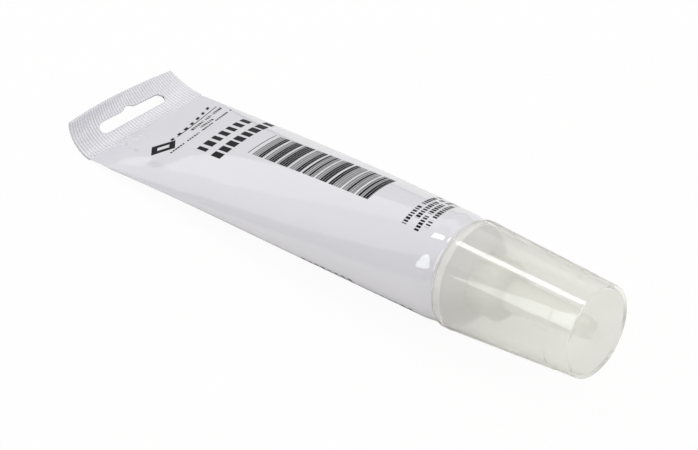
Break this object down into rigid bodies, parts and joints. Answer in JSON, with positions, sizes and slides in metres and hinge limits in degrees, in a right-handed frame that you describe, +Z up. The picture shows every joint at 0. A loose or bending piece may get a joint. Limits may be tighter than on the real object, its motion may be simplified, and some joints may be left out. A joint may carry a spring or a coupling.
{
  "type": "sealant squeeze tube",
  "caption": "Plastic squeeze tube of sealant lying on its side, with a flat ribbed tail and hang slot, a conical screw-on nozzle and a tapered see-through cap",
  "frame": {"origin": "middle of the bounding box at floor level, under the tube as it lies", "axes": "+X runs along the length toward the closed end of the cap, +Y across the flat tail, +Z up from the floor; the tube's own axis rises about 7 degrees toward the cap"},
  "size_m": [0.2162, 0.0534, 0.0376],
  "materials": {
    "film": "smooth white printed film with a soft gloss",
    "head": "moulded white plastic",
    "foil": "thin sealing foil",
    "nozzle": "milky natural plastic",
    "cap": "clear to slightly milky glossy plastic"
  },
  "bodies": {
    "tube": {"tube_body": "film", "tube_head": "head", "neck_seal": "foil"},
    "nozzle": {"nozzle": "nozzle"},
    "overcap": {"overcap": "cap"}
  },
  "joints": [
    {"name": "cap_pull", "type": "slide", "parent": "tube", "child": "overcap", "axis": [0.9925, 0, 0.1223], "range_m": [0, 0.05]},
    {"name": "nozzle_unscrew", "type": "hinge", "parent": "tube", "child": "nozzle", "pos_m": [0.07407, 0, 0.01938], "axis": [0.9925, 0, 0.1223], "range_deg": [0, 900]}
  ]
}
